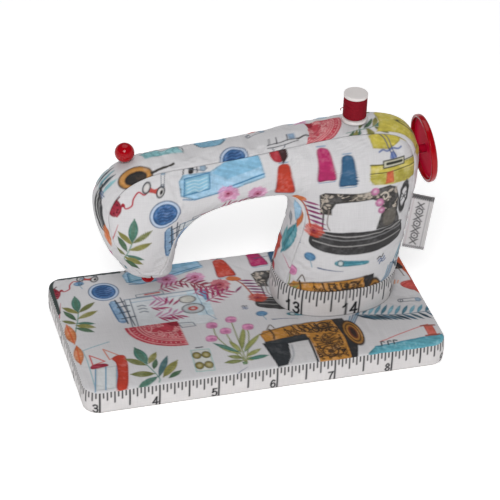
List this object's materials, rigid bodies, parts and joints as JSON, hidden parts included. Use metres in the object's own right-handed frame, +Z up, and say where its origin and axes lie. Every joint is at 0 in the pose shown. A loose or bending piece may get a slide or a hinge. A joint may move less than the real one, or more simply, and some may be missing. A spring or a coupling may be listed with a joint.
{
  "type": "pincushion",
  "caption": "Stuffed cloth pincushion shaped like a small sewing machine on a padded base, with a turning spool and handwheel, pull-out ball pins and a side label.",
  "frame": {"origin": "middle of the base's underside", "axes": "+X along the base towards the handwheel, +Y to the back, +Z up"},
  "size_m": [0.1618, 0.083, 0.1103],
  "materials": {
    "printed_cotton": "plain-woven printed cotton, matt",
    "tape_print": "plain-woven cotton printed with a ruler scale, matt",
    "label_cloth": "woven satin label, low sheen",
    "stuffing": "packed polyester fibre",
    "foam": "open-cell padding",
    "board": "grey-brown stiff board",
    "red_plastic": "high gloss",
    "white_plastic": "satin",
    "red_thread": "wound sewing thread, soft sheen",
    "steel": "polished pin wire"
  },
  "bodies": {
    "cushion": {"base_bottom_cover": "printed_cotton", "base_board": "board", "base_foam": "foam", "base_top_cover": "printed_cotton", "base_tape_band": "tape_print", "body_front_panel": "printed_cotton", "body_back_panel": "printed_cotton", "body_outer_gusset": "printed_cotton", "body_inner_gusset": "printed_cotton", "body_stuffing": "stuffing", "pillar_tape_band": "tape_print", "pillar_foot_disc": "board", "spool_pin": "steel"},
    "spool": {"spool_bobbin": "white_plastic", "spool_thread": "red_thread"},
    "handwheel": {"handwheel_button": "red_plastic", "handwheel_thread": "red_thread"},
    "top_pin": {"top_pin_ball": "red_plastic", "top_pin_shaft": "steel"},
    "needle_pin": {"needle_ball": "red_plastic", "needle_shaft": "steel"},
    "label": {"label_tag": "label_cloth"}
  },
  "joints": [
    {"name": "spool_turn", "type": "hinge", "parent": "cushion", "child": "spool", "pos_m": [0.0471, 0.0085, 0.0975], "axis": [0, 0, 1], "continuous": true},
    {"name": "handwheel_turn", "type": "hinge", "parent": "cushion", "child": "handwheel", "pos_m": [0.0797, 0.0082, 0.0791], "axis": [0.9944, -0.011, 0.105], "range_deg": [-60, 60], "stiffness_Nm_per_rad": 0.0002},
    {"name": "top_pin_pull", "type": "slide", "parent": "cushion", "child": "top_pin", "axis": [0, 0, 1], "range_m": [0, 0.026]},
    {"name": "needle_pin_pull", "type": "slide", "parent": "cushion", "child": "needle_pin", "axis": [0, 0, -1], "range_m": [0, 0.012]},
    {"name": "label_flap", "type": "hinge", "parent": "cushion", "child": "label", "pos_m": [0.0707, -0.0015, 0.0498], "axis": [0.1112, 0, 0.9938], "range_deg": [-35, 35], "stiffness_Nm_per_rad": 0.0002}
  ]
}
